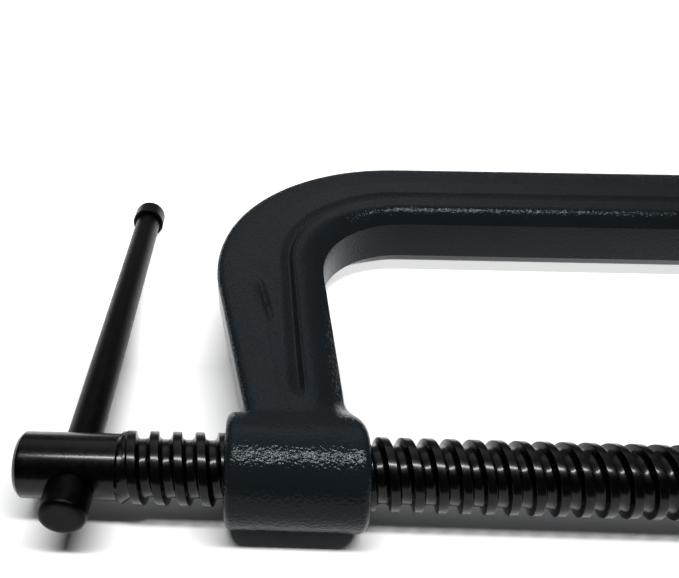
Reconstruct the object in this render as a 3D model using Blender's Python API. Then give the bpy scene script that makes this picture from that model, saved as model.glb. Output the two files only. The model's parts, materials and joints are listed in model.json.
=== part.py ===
"""Heavy C-clamp with an 8 in opening, lying on its side.

A drop-forged C frame carries a coarse right-hand screw in a threaded boss. A bar with pressed-on
caps slides through the screw's head, and a swivel pad sits on the ball at the screw's tip, held
by a retaining ring. Metres, +Z up. The screw runs along +X, and the spine lies on the +Y side.
The origin is under the middle of the whole clamp, on the surface that it lies on.
"""

import math

import bmesh
import bpy
from mathutils import Matrix

# --- Driving dimensions ----------------------------------------------------------------------
# Places along the screw are measured from the boss's outer face, heights from the mid-plane.

# Screw
SCREW_DIA = 0.01905  # over the thread's crests, 3/4 in
THREAD_PITCH = 0.006
THREAD_PHASE = -0.0017  # from the boss's outer face to the middle of a crest
THREAD_DEPTH = 0.00203
THREAD_CREST = 0.00225  # width of the flat crest
FLANK_ANGLE = math.radians(14.5)
THREAD_EXPOSED = 0.0279  # thread between the head and the boss, with the clamp nearly closed
THREAD_CLEARANCE = 0.00035  # between the screw and the boss's own thread
HEAD_DIA = 0.0173
HEAD_LENGTH = 0.0264
HEAD_CHAMFER = 0.0012
BALL_DIA = 0.0127
NECK_DIA = 0.009

# Handle
BAR_DIA = 0.0096
BAR_HOLE_CLEARANCE = 0.0004  # on the radius
BAR_FROM_SHOULDER = 0.0115  # hole's axis to the head's inner end
BAR_REACH = 0.1438  # screw axis to the far cap's end
CAP_DIA = 0.0124
CAP_LENGTH = 0.00855
CAP_ROUND = 0.0014
CAP_EDGE = 0.0005
SPIGOT_DIA = 0.0066
SPIGOT_LENGTH = 0.006

# Frame
BOSS_DIA = 0.0303
BOSS_LENGTH = 0.0365
BOSS_ROUND = 0.0015
ARM_SPACING = 0.300  # boss's outer face to the anvil's outer face
ANVIL_LENGTH = 0.040
ANVIL_ROUND = 0.004
ANVIL_EDGE = 0.001  # round the anvil's face
THROAT = 0.113  # screw axis to the spine's inner wall
SPINE_WIDTH = 0.036
FRAME_THICKNESS = 0.026
INNER_WALL = 0.0142  # height of the flat wall that faces into the C
RIDGE_OFFSET = 0.0115  # from that wall to the ridge of the broad face
RIDGE_STEP = 0.0021
STEP_RUN = 0.0013  # how far the step takes to climb
FACE_DIP = 0.0006
DIP_FROM_RIDGE = 0.006
OUTER_ROUND = 0.002
OUTER_DRAFT = 0.0004
ARM_INNER_AT_BOSS = 0.032  # inner wall of the arm, from the boss's outer face
ARM_OUTER_AT_BOSS = 0.003
ARM_FOOT = 0.020  # height over the screw axis where those two are measured
ARM_OUTER_LEAN = 0.0105  # how far the outer edge stands out by the start of the bend
ARM_INNER_LEAN = 0.0022
INNER_BEND = 0.033
OUTER_BEND = 0.066
BEND_LEAD = 9  # degrees of the outer bend that lie below its centre
FILLET = 0.0045  # where the arm's inner wall meets the boss
ARM_SUNK = 0.002  # how deep the arm's end lies in the boss
SINK_WIDER = 0.001  # countersink's mouth over the boss's thread, on the radius

# Pad
PAD_DIA = 0.028
PAD_COLLAR_WALL = 0.0026  # outside the retaining ring
PAD_FACE_THICKNESS = 0.0045
PAD_RIM = 0.0042
PAD_CONE = 0.0035  # length of the cone from rim to collar
PAD_EDGE = 0.0008
PAD_LIP = 0.002
JAW_GAP = 0.010  # between the pad and the anvil as the clamp lies
PAD_TILT = math.radians(6)
RING_THICKNESS = 0.0014
RING_UNDER_BALL = 0.0006  # how far the ring reaches in under the ball, on the radius
RING_OVER_BALL = 0.00155  # and how far it reaches out past it
RING_GAP = math.radians(30)

FIT = 0.0003  # gap between pieces that touch

# Facets
THREAD_SIDES = 16
ROUND_SIDES = 40
SMALL_SIDES = 24
BEND_STEPS = 9
OFF_EDGE = 0.37
CUT_PAST = 0.0005  # how far a cutter stands clear of what it cuts

# --- Values that follow ------------------------------------------------------------------------
SCREW_R = SCREW_DIA / 2
ROOT_R = SCREW_R - THREAD_DEPTH
HEAD_R = HEAD_DIA / 2
BALL_R = BALL_DIA / 2
BOSS_R = BOSS_DIA / 2
HALF_THICK = FRAME_THICKNESS / 2
HEAD_INNER_END = -THREAD_EXPOSED
HEAD_OUTER_END = HEAD_INNER_END - HEAD_LENGTH
BAR_X = HEAD_INNER_END - BAR_FROM_SHOULDER
SHOULDER = HEAD_R + FIT  # screw axis to the near cap's shoulder
NEAR_REACH = SHOULDER + CAP_LENGTH
RING_INNER_R = BALL_R - RING_UNDER_BALL
RING_OUTER_R = BALL_R + RING_OVER_BALL
COLLAR_R = RING_OUTER_R + PAD_COLLAR_WALL
ANVIL_FACE = ARM_SPACING - ANVIL_LENGTH
PAD_FACE = ANVIL_FACE - JAW_GAP
BALL_X = PAD_FACE - PAD_FACE_THICKNESS - FIT - BALL_R
RING_FRONT = math.sqrt((BALL_R + FIT) ** 2 - RING_INNER_R**2)  # behind the ball's centre
RING_BACK = RING_FRONT + RING_THICKNESS
TILT_PLAY = RING_OUTER_R * math.sin(PAD_TILT) + 0.6 * FIT
GROOVE_FRONT = RING_FRONT - TILT_PLAY
GROOVE_BACK = RING_BACK + TILT_PLAY
PAD_BACK = GROOVE_BACK + PAD_LIP
THREAD_END = BALL_X - PAD_BACK - COLLAR_R * math.sin(PAD_TILT) - 2 * FIT
SPINE_OUTER = THROAT + SPINE_WIDTH
MIDDLE = ARM_SPACING / 2

# The bar dips towards its far cap until that cap lies as low as the boss.
BAR_DIP = math.asin((BOSS_R - CAP_DIA / 2) / BAR_REACH)
for _ in range(4):
    BAR_DIP = math.asin((BOSS_R - CAP_DIA / 2 * math.cos(BAR_DIP)) / BAR_REACH)

# The outer edge's furthest point: the circle of the outer bend, less its straight arm.
OUTER_BEND_CENTRE = ARM_OUTER_AT_BOSS - ARM_OUTER_LEAN + OUTER_BEND
FRAME_LEFT = OUTER_BEND_CENTRE - OUTER_BEND
LOW_X = HEAD_OUTER_END
HIGH_X = 2 * MIDDLE - FRAME_LEFT
LOW_Y = -NEAR_REACH * math.cos(BAR_DIP) - (CAP_DIA / 2 - CAP_ROUND) * math.sin(BAR_DIP)
HIGH_Y = SPINE_OUTER
TO_ORIGIN = (-(LOW_X + HIGH_X) / 2, -(LOW_Y + HIGH_Y) / 2, BOSS_R)


# --- Small tools ---------------------------------------------------------------------------------
def clear_scene():
    for obj in list(bpy.data.objects):
        bpy.data.objects.remove(obj, do_unlink=True)


def linear(hex_colour):
    """Linear RGBA of an sRGB hex colour."""
    values = [int(hex_colour[i : i + 2], 16) / 255 for i in (1, 3, 5)]
    curve = [v / 12.92 if v <= 0.04045 else ((v + 0.055) / 1.055) ** 2.4 for v in values]
    return (*curve, 1.0)


def material(name, hex_colour, metallic, roughness):
    mat = bpy.data.materials.new(name)
    mat.use_nodes = True
    mat.diffuse_color = linear(hex_colour)
    shader = mat.node_tree.nodes["Principled BSDF"]
    shader.inputs["Base Color"].default_value = linear(hex_colour)
    shader.inputs["Metallic"].default_value = metallic
    shader.inputs["Roughness"].default_value = roughness
    return mat


def empty(name, location, parent=None, rotation=(0, 0, 0)):
    obj = bpy.data.objects.new(name, None)
    bpy.context.scene.collection.objects.link(obj)
    obj.parent = parent
    obj.location = location
    obj.rotation_euler = rotation
    return obj


def solid(name, points, faces, mat=None, parent=None, location=(0, 0, 0), cutter=False):
    """An object from points and faces, its normals facing out."""
    mesh = bpy.data.meshes.new(name)
    bm = bmesh.new()
    verts = [bm.verts.new(p) for p in points]
    for face in faces:
        bm.faces.new([verts[i] for i in face])
    bmesh.ops.recalc_face_normals(bm, faces=bm.faces)
    bm.to_mesh(mesh)
    bm.free()
    obj = bpy.data.objects.new(name, mesh)
    bpy.context.scene.collection.objects.link(obj)
    obj.parent = parent
    obj.location = location
    if mat:
        mesh.materials.append(mat)
        mesh.shade_smooth()
        mesh.set_sharp_from_angle(angle=math.radians(35))
    obj.hide_render = cutter
    if cutter:
        obj.display_type = "WIRE"
    return obj


def boolean(obj, other, operation, solver="EXACT"):
    modifier = obj.modifiers.new(other.name, "BOOLEAN")
    modifier.operation = operation
    modifier.solver = solver
    modifier.object = other


def along_bar():
    """Turns the X axis along the bar, from the near cap to the far one."""
    return Matrix.Rotation(-BAR_DIP, 3, "X") @ Matrix.Rotation(math.pi / 2, 3, "Z")


def arc(centre, radius, start, end, steps):
    """Points on an arc in the plane of the profile, both ends included, angles in degrees."""
    turns = [math.radians(start + (end - start) * k / steps) for k in range(steps + 1)]
    return [(centre[0] + radius * math.cos(a), centre[1] + radius * math.sin(a)) for a in turns]


def turned(profile, sides, offset=0.0):
    """Points and faces of a profile of (x, radius) turned about X. Both its ends lie on the axis.

    The first point is offset by that share of a side, so that two shapes don't share their edges.
    """
    start, end = profile[0][0], profile[-1][0]
    rings = profile[1:-1]
    points = [(start, 0, 0), (end, 0, 0)]
    for x, r in rings:
        for k in range(sides):
            a = 2 * math.pi * (k + offset) / sides
            points.append((x, r * math.cos(a), r * math.sin(a)))
    faces = []
    last = 2 + (len(rings) - 1) * sides
    for k in range(sides):
        n = (k + 1) % sides
        faces.append((0, 2 + n, 2 + k))
        faces.append((1, last + k, last + n))
        for i in range(len(rings) - 1):
            low, high = 2 + i * sides, 2 + (i + 1) * sides
            faces.append((low + k, low + n, high + n, high + k))
    return points, faces


def threaded_rod(start, end, grow):
    """Points and faces of a rod with the screw's thread, whose crests and flanks stand proud by grow.

    Each row of points is a right-handed helix that starts at x = row and gains one pitch a turn, so
    the last point of a row meets the first point of the row four further on. The first and last
    turns have no groove, and an envelope cuts them off.
    """
    half_crest = THREAD_CREST / 2 + grow
    flank = THREAD_DEPTH * math.tan(FLANK_ANGLE)
    across = (
        (-half_crest, SCREW_R + grow),
        (half_crest, SCREW_R + grow),
        (half_crest + flank, ROOT_R + grow),
        (THREAD_PITCH - half_crest - flank, ROOT_R + grow),
    )
    first = math.floor(start / THREAD_PITCH) - 2
    turns = math.ceil(end / THREAD_PITCH) + 1 - first
    rows = []
    for turn in range(turns):
        for x, r in across:
            rows.append((x + THREAD_PHASE + (first + turn) * THREAD_PITCH, r))
    plain = len(across) + 1
    for i in (*range(plain), *range(len(rows) - plain, len(rows))):
        rows[i] = (rows[i][0], SCREW_R + grow)
    points = []
    for x, r in rows:
        for j in range(THREAD_SIDES):
            a = 2 * math.pi * j / THREAD_SIDES
            points.append((x + THREAD_PITCH * j / THREAD_SIDES, r * math.cos(a), r * math.sin(a)))

    def index(i, j):
        return (i + len(across) * (j // THREAD_SIDES)) * THREAD_SIDES + j % THREAD_SIDES

    faces = []
    for j in range(THREAD_SIDES):
        seam = len(across) if j == THREAD_SIDES - 1 else 0
        for i in range(len(rows) - 1 - seam):
            faces.append((index(i, j), index(i, j + 1), index(i + 1, j + 1), index(i + 1, j)))
    low_loop = [index(0, j) for j in range(THREAD_SIDES)]
    low_loop += [index(i, 0) for i in range(len(across), 0, -1)]
    top = len(rows) - 1
    high_loop = [index(top, j) for j in range(THREAD_SIDES)]
    high_loop += [index(top - k, THREAD_SIDES - 1) for k in range(1, len(across) + 1)]
    for loop, x in ((low_loop, rows[0][0]), (high_loop, rows[-1][0] + THREAD_PITCH)):
        points.append((x, 0, 0))
        centre = len(points) - 1
        for k, here in enumerate(loop):
            faces.append((centre, here, loop[(k + 1) % len(loop)]))
    return points, faces


# --- Frame -----------------------------------------------------------------------------------------
def frame_section(width):
    """Half of the frame's section as (distance from the inner wall, height), from wall to outer edge.

    From the wall a convex band climbs to a small step, whose top is the ridge of the broad face.
    The face dips a little, and its outer corner is rounded onto a drafted edge.
    """
    wall = INNER_WALL / 2
    band_top = HALF_THICK - RIDGE_STEP
    foot = RIDGE_OFFSET - STEP_RUN
    climb = band_top - wall
    band = [(foot * k / 4, wall + climb * math.sin(math.pi / 8 * k)) for k in (1, 2, 3, 4)]
    low = HALF_THICK - FACE_DIP
    corner = width - OUTER_DRAFT - OUTER_ROUND
    edge = arc((corner, low - OUTER_ROUND), OUTER_ROUND, 90, 10, 3)
    face = [(RIDGE_OFFSET, HALF_THICK), (RIDGE_OFFSET + DIP_FROM_RIDGE, low)]
    return [(0, wall), *band, *face, *edge, (width, 0)]


def frame_stations():
    """(inner, outer) points of the left half of the C, from inside the boss to the spine's middle."""
    bend_x = ARM_INNER_AT_BOSS - ARM_INNER_LEAN + INNER_BEND
    bend_y = THROAT - INNER_BEND
    outer_y = SPINE_OUTER - OUTER_BEND
    bulge = OUTER_BEND * (1 - math.cos(math.radians(BEND_LEAD)))
    lean = math.atan2(ARM_OUTER_LEAN - bulge, outer_y - ARM_FOOT)
    meet = BOSS_R - ARM_SUNK
    foot_inner = ARM_INNER_AT_BOSS + FILLET
    foot_outer = ARM_OUTER_AT_BOSS - ARM_SUNK
    stations = [((foot_inner, ARM_SUNK), (foot_outer, ARM_SUNK))]
    stations.append(((foot_inner, meet - ARM_SUNK / 2), (foot_outer, meet)))
    fillet = arc((foot_inner, meet + FILLET), FILLET, 255, 180, 4)
    for k, point in enumerate(fillet):
        outward = ARM_SUNK * max(0, 1 - k / 2)
        rise = ARM_SUNK * (0.25 + 0.6 * k)
        stations.append((point, (ARM_OUTER_AT_BOSS - outward, meet + rise)))
    for share in (0.2, 0.6):
        y = ARM_FOOT + (bend_y - ARM_FOOT) * share
        inner = (ARM_INNER_AT_BOSS - ARM_INNER_LEAN * share, y)
        stations.append((inner, (ARM_OUTER_AT_BOSS - (y - ARM_FOOT) * math.tan(lean), y)))
    for k in range(BEND_STEPS + 1):
        turn = math.radians(90 * k / BEND_STEPS)
        inner = (bend_x - INNER_BEND * math.cos(turn), bend_y + INNER_BEND * math.sin(turn))
        turn = math.radians(-BEND_LEAD + (90 + BEND_LEAD) * k / BEND_STEPS)
        outer = (
            OUTER_BEND_CENTRE - OUTER_BEND * math.cos(turn),
            outer_y + OUTER_BEND * math.sin(turn),
        )
        stations.append((inner, outer))
    stations.append(((MIDDLE, THROAT), (MIDDLE, SPINE_OUTER)))
    return stations


def frame_sweep():
    """The C as its section carried from the boss round to the anvil, the right half mirrored."""
    left = frame_stations()
    right = [tuple((2 * MIDDLE - x, y) for x, y in pair) for pair in reversed(left[:-1])]
    points = []
    for inner, outer in left + right:
        width = math.dist(inner, outer)
        along = ((outer[0] - inner[0]) / width, (outer[1] - inner[1]) / width)
        half = frame_section(width)
        ring = half + [(u, -z) for u, z in reversed(half[:-1])]
        points += [(inner[0] + along[0] * u, inner[1] + along[1] * u, z) for u, z in ring]
    size = len(ring)
    count = len(points) // size
    faces = [tuple(range(size)), tuple(range(len(points) - size, len(points)))]
    for i in range(count - 1):
        for k in range(size):
            n = (k + 1) % size
            faces.append((i * size + k, i * size + n, (i + 1) * size + n, (i + 1) * size + k))
    return points, faces


def build_frame(parent):
    paint = material("slate_enamel", "#2f3a40", 0.0, 0.38)
    frame = solid("frame", *frame_sweep(), paint, parent)
    boss = [(0, 0), *arc((BOSS_ROUND, BOSS_R - BOSS_ROUND), BOSS_ROUND, 180, 90, 3)]
    boss += arc((BOSS_LENGTH - BOSS_ROUND, BOSS_R - BOSS_ROUND), BOSS_ROUND, 90, 0, 3)
    boss.append((BOSS_LENGTH, 0))
    boolean(frame, solid("boss", *turned(boss, ROUND_SIDES), parent=parent, cutter=True), "UNION")
    anvil = [(ANVIL_FACE, 0), (ANVIL_FACE, BOSS_R - ANVIL_EDGE), (ANVIL_FACE + ANVIL_EDGE, BOSS_R)]
    anvil += arc((ARM_SPACING - ANVIL_ROUND, BOSS_R - ANVIL_ROUND), ANVIL_ROUND, 90, 0, 4)
    anvil.append((ARM_SPACING, 0))
    boolean(frame, solid("anvil", *turned(anvil, ROUND_SIDES), parent=parent, cutter=True), "UNION")
    # The tap leaves the boss's own thread, and widens to a countersink at each mouth.
    past = 8 * CUT_PAST
    tapped = threaded_rod(-past, BOSS_LENGTH + past, THREAD_CLEARANCE)
    tap = solid("tap", *tapped, parent=parent, cutter=True)
    boolean(frame, tap, "DIFFERENCE")
    wide = SCREW_R + 2 * THREAD_CLEARANCE + SINK_WIDER
    for name, face, way in (("outer_countersink", 0, -1), ("inner_countersink", BOSS_LENGTH, 1)):
        mouth_x, floor_x = face + way * past, face - way * (wide - ROOT_R)
        sink = [(mouth_x, 0), (mouth_x, wide + past), (floor_x, ROOT_R), (floor_x, 0)]
        mouth = solid(name, *turned(sink, ROUND_SIDES, OFF_EDGE), parent=parent, cutter=True)
        boolean(frame, mouth, "DIFFERENCE")
    return frame


# --- Screw -------------------------------------------------------------------------------------------
def build_screw(parent):
    """Threaded rod cut to length, with the head, the neck and the ball joined on.

    The exact solver loses the rod when the head joins it, so those cuts use the manifold one.
    """
    oxide = material("black_oxide_screw", "#1d1d1f", 1.0, 0.35)
    rod = threaded_rod(HEAD_INNER_END, THREAD_END, 0)
    screw = solid("screw_spindle", *rod, oxide, parent)
    lead = THREAD_DEPTH + 0.0002
    over = SCREW_R + CUT_PAST
    lap = 2 * CUT_PAST
    envelope = [
        (HEAD_INNER_END - lap, 0),
        (HEAD_INNER_END - lap, HEAD_R - lap),
        (HEAD_INNER_END + CUT_PAST, over),
        (THREAD_END - lead - CUT_PAST, over),
        (THREAD_END, SCREW_R - lead),
        (THREAD_END, 0),
    ]
    cut = solid("thread_ends", *turned(envelope, ROUND_SIDES, OFF_EDGE), parent=parent, cutter=True)
    boolean(screw, cut, "INTERSECT")
    head = [
        (HEAD_OUTER_END, 0),
        (HEAD_OUTER_END, HEAD_R - HEAD_CHAMFER),
        (HEAD_OUTER_END + HEAD_CHAMFER, HEAD_R),
        (HEAD_INNER_END, HEAD_R),
        (HEAD_INNER_END, ROOT_R - CUT_PAST),
        (HEAD_INNER_END + 2 * lap, ROOT_R - CUT_PAST),
        (HEAD_INNER_END + 2 * lap, 0),
    ]
    joined = solid("head", *turned(head, ROUND_SIDES, OFF_EDGE), parent=parent, cutter=True)
    boolean(screw, joined, "UNION", "MANIFOLD")
    meets = math.degrees(math.asin(NECK_DIA / BALL_DIA))
    ball = arc((BALL_X, 0), BALL_R, 180 - meets, 0, 8)
    root = THREAD_END - 3 * lap
    tip = [(root, 0), (root, NECK_DIA / 2), *ball[:-1], (BALL_X + BALL_R, 0)]
    joined = solid("tip", *turned(tip, SMALL_SIDES, OFF_EDGE), parent=parent, cutter=True)
    boolean(screw, joined, "UNION", "MANIFOLD")
    reach = HEAD_R + 10 * CUT_PAST
    hole_r = BAR_DIA / 2 + BAR_HOLE_CLEARANCE
    hole = turned([(-reach, 0), (-reach, hole_r), (reach, hole_r), (reach, 0)], SMALL_SIDES)
    drill = solid("drill", *hole, parent=parent, location=(BAR_X, 0, 0), cutter=True)
    drill.rotation_euler = along_bar().to_euler()
    boolean(screw, drill, "DIFFERENCE", "MANIFOLD")
    return screw


# --- Handle --------------------------------------------------------------------------------------------
def build_handle(parent):
    """Bar and caps along the local X axis of an empty that points from the near cap to the far one."""
    axis = empty("handle_axis", (BAR_X, 0, 0), parent, along_bar().to_euler())
    oxide = material("black_oxide_bar", "#232122", 1.0, 0.45)
    near, far = -SHOULDER, BAR_REACH - CAP_LENGTH
    bar_r, spigot_r = BAR_DIA / 2, SPIGOT_DIA / 2
    bar = [
        (near - SPIGOT_LENGTH, 0),
        (near - SPIGOT_LENGTH, spigot_r),
        (near + FIT, spigot_r),
        (near + FIT, bar_r),
        (far - FIT, bar_r),
        (far - FIT, spigot_r),
        (far + SPIGOT_LENGTH, spigot_r),
        (far + SPIGOT_LENGTH, 0),
    ]
    solid("handle_bar", *turned(bar, SMALL_SIDES), oxide, axis)
    capped = material("black_oxide_cap", "#1b1b1d", 1.0, 0.3)
    bore_r, cap_r = spigot_r + FIT, CAP_DIA / 2
    floor = SPIGOT_LENGTH + FIT
    cap = [
        (floor, 0),
        (floor, bore_r),
        (0, bore_r),
        (0, cap_r - CAP_EDGE),
        (CAP_EDGE, cap_r),
        *arc((CAP_LENGTH - CAP_ROUND, cap_r - CAP_ROUND), CAP_ROUND, 90, 0, 4),
        (CAP_LENGTH, 0),
    ]
    for name, place, way in (("handle_cap_near", near, -1), ("handle_cap_far", far, 1)):
        profile = [(way * x, r) for x, r in cap]
        solid(name, *turned(profile, SMALL_SIDES), capped, axis, (place, 0, 0))
    return axis


# --- Swivel pad ------------------------------------------------------------------------------------------
def build_pad(parent):
    """Pad turned about the ball's centre: face, collar, and a socket with a groove for the ring."""
    steel = material("black_oxide_pad", "#202022", 1.0, 0.4)
    bore_r = BALL_R + FIT
    # The ring's back corner swings out as the pad tilts round it.
    groove_r = RING_OUTER_R * math.cos(PAD_TILT) + RING_BACK * math.sin(PAD_TILT) + FIT
    face = BALL_R + FIT + PAD_FACE_THICKNESS
    profile = [
        (face, 0),
        (face, PAD_DIA / 2 - PAD_EDGE),
        (face - PAD_EDGE, PAD_DIA / 2),
        (face - PAD_RIM, PAD_DIA / 2),
        (face - PAD_RIM - PAD_CONE, COLLAR_R),
        (-PAD_BACK + PAD_EDGE, COLLAR_R),
        (-PAD_BACK, COLLAR_R - PAD_EDGE),
        (-PAD_BACK, bore_r),
        (-GROOVE_BACK, bore_r),
        (-GROOVE_BACK, groove_r),
        (-GROOVE_FRONT, groove_r),
        (-GROOVE_FRONT, bore_r),
        *arc((0, 0), bore_r, 90, 0, 5)[:-1],
        (bore_r, 0),
    ]
    solid("swivel_pad", *turned(profile, ROUND_SIDES), steel, parent, (BALL_X, 0, 0))


def build_ring(parent):
    """Split retaining ring behind the ball, its gap facing up."""
    spring = material("spring_steel_ring", "#3a3a3c", 1.0, 0.35)
    corners = [(-RING_THICKNESS / 2, RING_INNER_R), (-RING_THICKNESS / 2, RING_OUTER_R)]
    corners += [(-x, r) for x, r in reversed(corners)]
    steps = SMALL_SIDES
    points = []
    for k in range(steps + 1):
        a = math.pi / 2 + RING_GAP / 2 + (2 * math.pi - RING_GAP) * k / steps
        points += [(x, r * math.cos(a), r * math.sin(a)) for x, r in corners]
    faces = [(0, 1, 2, 3), tuple(range(4 * steps, 4 * steps + 4))]
    for k in range(steps):
        for c in range(4):
            n = (c + 1) % 4
            faces.append((4 * k + c, 4 * k + n, 4 * k + 4 + n, 4 * k + 4 + c))
    place = (BALL_X - (RING_FRONT + RING_BACK) / 2, 0, 0)
    solid("pad_retaining_ring", points, faces, spring, parent, place)


def main():
    clear_scene()
    clamp = empty("clamp", TO_ORIGIN)
    build_frame(clamp)
    build_screw(clamp)
    build_handle(clamp)
    build_pad(clamp)
    build_ring(clamp)


main()
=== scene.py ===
"""Looks of a heavy C-clamp with an 8 in opening, lying on its side.

A drop-forged frame in slate enamel, a black oxide screw with a coarse thread, its sliding handle and
its swivel pad, built as an add-on whose sidebar panel remakes each piece. Metres, +Z up: the screw
runs along +X and the spine of the C lies on the +Y side. Every piece is a surface worked out on a
grid, in "clamp" coordinates (x from the boss's outer face, y and z from the screw's axis), which
are moved to the frame's own at the end.
"""

import json
import math

import bmesh
import bpy
import numpy as np
from bpy.props import FloatProperty, FloatVectorProperty, IntProperty, PointerProperty
from mathutils import Matrix, Vector


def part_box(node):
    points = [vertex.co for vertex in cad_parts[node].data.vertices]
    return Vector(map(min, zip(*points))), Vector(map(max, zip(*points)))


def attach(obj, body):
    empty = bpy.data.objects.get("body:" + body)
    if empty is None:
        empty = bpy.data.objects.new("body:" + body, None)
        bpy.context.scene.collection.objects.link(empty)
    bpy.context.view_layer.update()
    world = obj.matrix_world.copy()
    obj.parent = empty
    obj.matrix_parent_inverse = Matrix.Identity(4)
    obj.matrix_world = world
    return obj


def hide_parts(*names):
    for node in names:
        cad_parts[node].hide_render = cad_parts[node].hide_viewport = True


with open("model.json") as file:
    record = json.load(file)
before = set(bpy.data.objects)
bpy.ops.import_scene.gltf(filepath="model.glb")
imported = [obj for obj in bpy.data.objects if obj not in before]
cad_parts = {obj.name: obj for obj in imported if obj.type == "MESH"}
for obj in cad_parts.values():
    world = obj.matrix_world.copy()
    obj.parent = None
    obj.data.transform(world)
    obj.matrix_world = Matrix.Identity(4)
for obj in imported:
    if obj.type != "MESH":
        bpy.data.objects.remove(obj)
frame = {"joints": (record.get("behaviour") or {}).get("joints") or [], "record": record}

bl_info = {
    "name": "C-Clamp Looks",
    "version": (1, 0, 0),
    "blender": (4, 5, 0),
    "location": "View3D > Sidebar > Clamp",
    "description": "Builds the enamelled frame, screw, handle and swivel pad of a C-clamp",
    "category": "Add Mesh",
}

MM = 0.001
TAU = 2 * math.pi
SHARP = math.radians(35)  # edges that turn by more than this stay crisp
ARM_STATIONS = 64  # sections along the straight of one arm
MIX_A, MIX_B, MIX_COLOUR = 6, 7, 2  # the colour sockets of a Mix node
POLE = 0.05  # how far, in radians, a turned ball stops short of its pole, where a fan closes it

# --- What the fixed frame says ----------------------------
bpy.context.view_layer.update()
JOINTS = {joint["name"]: joint for joint in frame["joints"]}
COUPLINGS = {coupling["joint"]: coupling for coupling in frame["record"]["behaviour"]["couplings"]}
PITCH = COUPLINGS["screw_travel"]["ratio"] * TAU  # the screw's travel in one turn
AXIS_Y, AXIS_Z = JOINTS["screw_spin"]["pos_m"][1:]
BALL_X_WORLD = JOINTS["pad_tilt"]["pos_m"][0]
BAR_X_WORLD = JOINTS["screw_spin"]["pos_m"][0]
BAR_AXIS = np.array(JOINTS["handle_slide"]["axis"]) * -1.0  # from the near cap to the far one
LOW, HIGH = (np.array(corner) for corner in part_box("frame"))
HEAD_X_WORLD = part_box("screw_spindle")[0][0]
PAD_LOW, PAD_HIGH = (np.array(corner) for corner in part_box("swivel_pad"))
RING_LOW, RING_HIGH = (np.array(corner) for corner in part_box("pad_retaining_ring"))
MOUNTS = {mount["name"]: mount for mount in frame["record"]["mounts"]}
ANVIL_X_WORLD = MOUNTS["anvil_face"]["pos_m"][0]


def length(name, description, millimetres):
    """A size that a user may change, in metres."""
    return FloatProperty(
        name=name, description=description, default=millimetres * MM, unit="LENGTH", precision=5
    )


def angle(name, description, degrees):
    radians = math.radians(degrees)
    return FloatProperty(name=name, description=description, default=radians, unit="ROTATION")


def linear(hex_colour):
    """Linear RGBA of an sRGB hex colour."""
    values = [int(hex_colour[i : i + 2], 16) / 255 for i in (1, 3, 5)]
    curve = [v / 12.92 if v <= 0.04045 else ((v + 0.055) / 1.055) ** 2.4 for v in values]
    return (*curve, 1.0)


def colour(name, description, hex_colour):
    shade = linear(hex_colour)
    return FloatVectorProperty(
        name=name, description=description, default=shade, size=4, subtype="COLOR", min=0, max=1
    )


def spot(name, description, metres):
    return FloatVectorProperty(
        name=name, description=description, default=metres, subtype="XYZ", unit="LENGTH"
    )


# --- Sizes and colours ------------------------------------
class FrameSizes(bpy.types.PropertyGroup):
    """Sizes of the forged frame, measured as the clamp lies: u runs from the inner wall outwards."""

    overhang: length("Overhang", "How far the arm's outer edge stands out past the boss", 7.5)
    boss_length: length("Boss length", "Length of the threaded boss", 36.5)
    boss_edge: length("Boss edge", "Rounding of the boss's ends", 2.2)
    boss_shoulder: length("Boss shoulder", "Rounding of the boss's inner end where the arm flows in", 4.4)
    anvil_round: length("Anvil round", "Rounding of the anvil's outer end", 4.0)
    anvil_edge: length("Anvil edge", "Rounding round the anvil's face", 1.0)
    thickness: length("Thickness", "Thickness of the forging", 26.0)
    spine_width: length("Spine width", "Width of the spine, seen from above", 36.0)
    inner_wall: length("Inner wall", "Height of the wall that faces into the C", 14.2)
    shoulder: length("Shoulder", "From the inner wall to the rail's shoulder, on the arms", 7.4)
    spine_shoulder: length("Spine shoulder", "The same on the spine, where the rail is fuller", 4.2)
    shoulder_drop: length("Shoulder drop", "How far the shoulder lies below the rail's crest", 0.6)
    rail: length("Rail", "From the inner wall to the rail's crest", 11.2)
    rail_rise: length("Rail rise", "How far the crest stands over the rail's top", 0.3)
    groove: length("Groove", "From the crest to the bottom of the groove beside it", 1.3)
    groove_depth: length("Groove depth", "Depth of the groove beside the rail", 1.6)
    web_crown: length("Web crown", "How far the web rises from the groove's lip to its middle", 0.35)
    outer_round: length("Outer round", "Rounding of the outer edge", 3.0)
    outer_draft: length("Outer draft", "Draft of the outer edge", 0.5)
    outer_lean: length("Outer lean", "How far the outer wall draws in towards the underside", 2.4)
    arm_inner: length("Arm inner", "Inner wall of the arm, from the boss's outer face", 32.0)
    arm_outer: length("Arm outer", "Outer edge of the arm, from the boss's outer face", 2.2)
    arm_foot: length("Arm foot", "Height over the screw's axis where those two are measured", 20.0)
    inner_lean: length("Inner lean", "How far the inner wall leans out by the start of the bend", 2.2)
    inner_bend: length("Inner bend", "Radius of the inner wall's bend", 33.0)
    outer_bend: length("Outer bend", "Radius of the outer edge's bend", 70.0)
    bend_lead: angle("Bend lead", "How much of the outer bend lies below its centre", 9.0)
    fillet: length("Fillet", "Softness of the joint between arm and boss", 5.0)
    crease: length("Crease", "Softness where the broad face meets the boss", 1.6)
    unevenness: length("Unevenness", "How uneven the forging's skin is", 0.09)
    lap_depth: length("Lap depth", "Depth of the lap that the forging left on the arm", 0.9)
    lap_width: length("Lap width", "Half the width of that lap", 1.05)


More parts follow.
